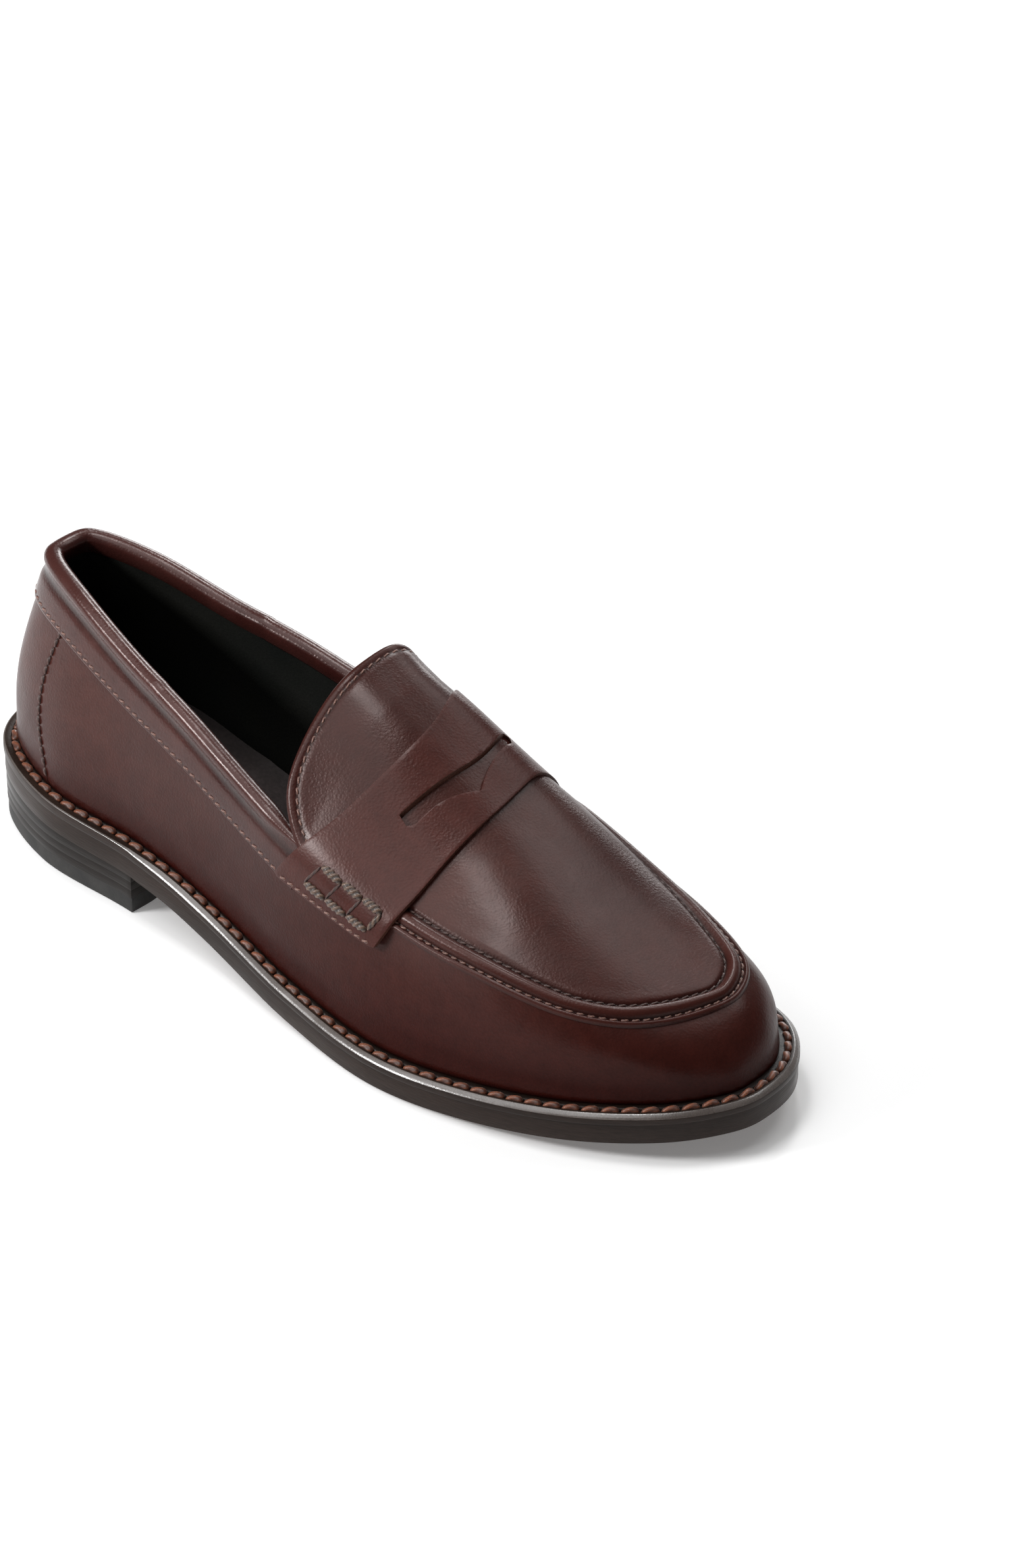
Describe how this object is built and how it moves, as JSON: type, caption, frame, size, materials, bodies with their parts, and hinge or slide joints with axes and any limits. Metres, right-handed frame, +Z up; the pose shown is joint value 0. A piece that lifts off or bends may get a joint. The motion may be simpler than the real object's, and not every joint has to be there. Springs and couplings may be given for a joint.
{
  "type": "penny loafer",
  "caption": "Right-foot slip-on leather shoe with a raised apron, a saddle strap with a coin slot, a welted leather sole and a low stacked heel.",
  "frame": {"origin": "on the ground, under the middle of the shoe's length and width", "axes": "+X from the heel to the toe, +Y to the inner (medial) side of the right foot, +Z up"},
  "size_m": [0.29, 0.1022, 0.0922],
  "materials": {
    "upper_leather": "polished box calf, oxblood, fine grain",
    "strap_leather": "polished box calf, oxblood, cut edges",
    "collar_leather": "glossy rolled edge",
    "lining": "matt black-green lining leather",
    "sock_leather": "matt dark grey-brown",
    "insole_leather": "unfinished vegetable-tanned leather",
    "sole_leather": "dyed and burnished edge",
    "welt_leather": "waxed brown with a bright bevel",
    "heel_leather": "stacked leather, dyed and burnished",
    "top_lift_rubber": "matt black rubber",
    "nail_steel": "plain steel",
    "shank_steel": "spring steel strip",
    "cork": "ground cork",
    "stiffener_board": "pressed leather board",
    "welt_thread": "waxed two-ply thread, orange-brown",
    "upper_thread": "fine thread, pinkish brown",
    "dark_thread": "fine thread, dark brown",
    "lacing_thread": "thick two-ply thread, brown"
  },
  "bodies": {
    "root": {"outsole": "sole_leather", "welt": "welt_leather", "welt_stitching": "welt_thread", "heel_lift_1": "heel_leather", "heel_lift_2": "heel_leather", "heel_lift_3": "heel_leather", "heel_top_lift": "top_lift_rubber", "heel_nails": "nail_steel", "shank": "shank_steel", "cork_filler": "cork", "insole_board": "insole_leather", "sock_lining": "sock_leather", "vamp": "upper_leather", "apron": "upper_leather", "back_counter": "upper_leather", "topline_collar": "collar_leather", "saddle_strap": "strap_leather", "vamp_lining": "lining", "apron_lining": "lining", "quarter_lining": "lining", "tongue_lining": "lining", "heel_stiffener": "stiffener_board", "toe_puff": "stiffener_board", "apron_outer_stitching": "upper_thread", "apron_inner_stitching": "dark_thread", "tongue_stitching": "upper_thread", "collar_stitching": "upper_thread", "side_seam_stitching_lateral": "dark_thread", "side_seam_stitching_medial": "dark_thread", "strap_stitching_lateral": "upper_thread", "strap_stitching_medial": "upper_thread", "strap_lacing_lateral": "lacing_thread", "strap_lacing_medial": "lacing_thread"}
  },
  "joints": []
}
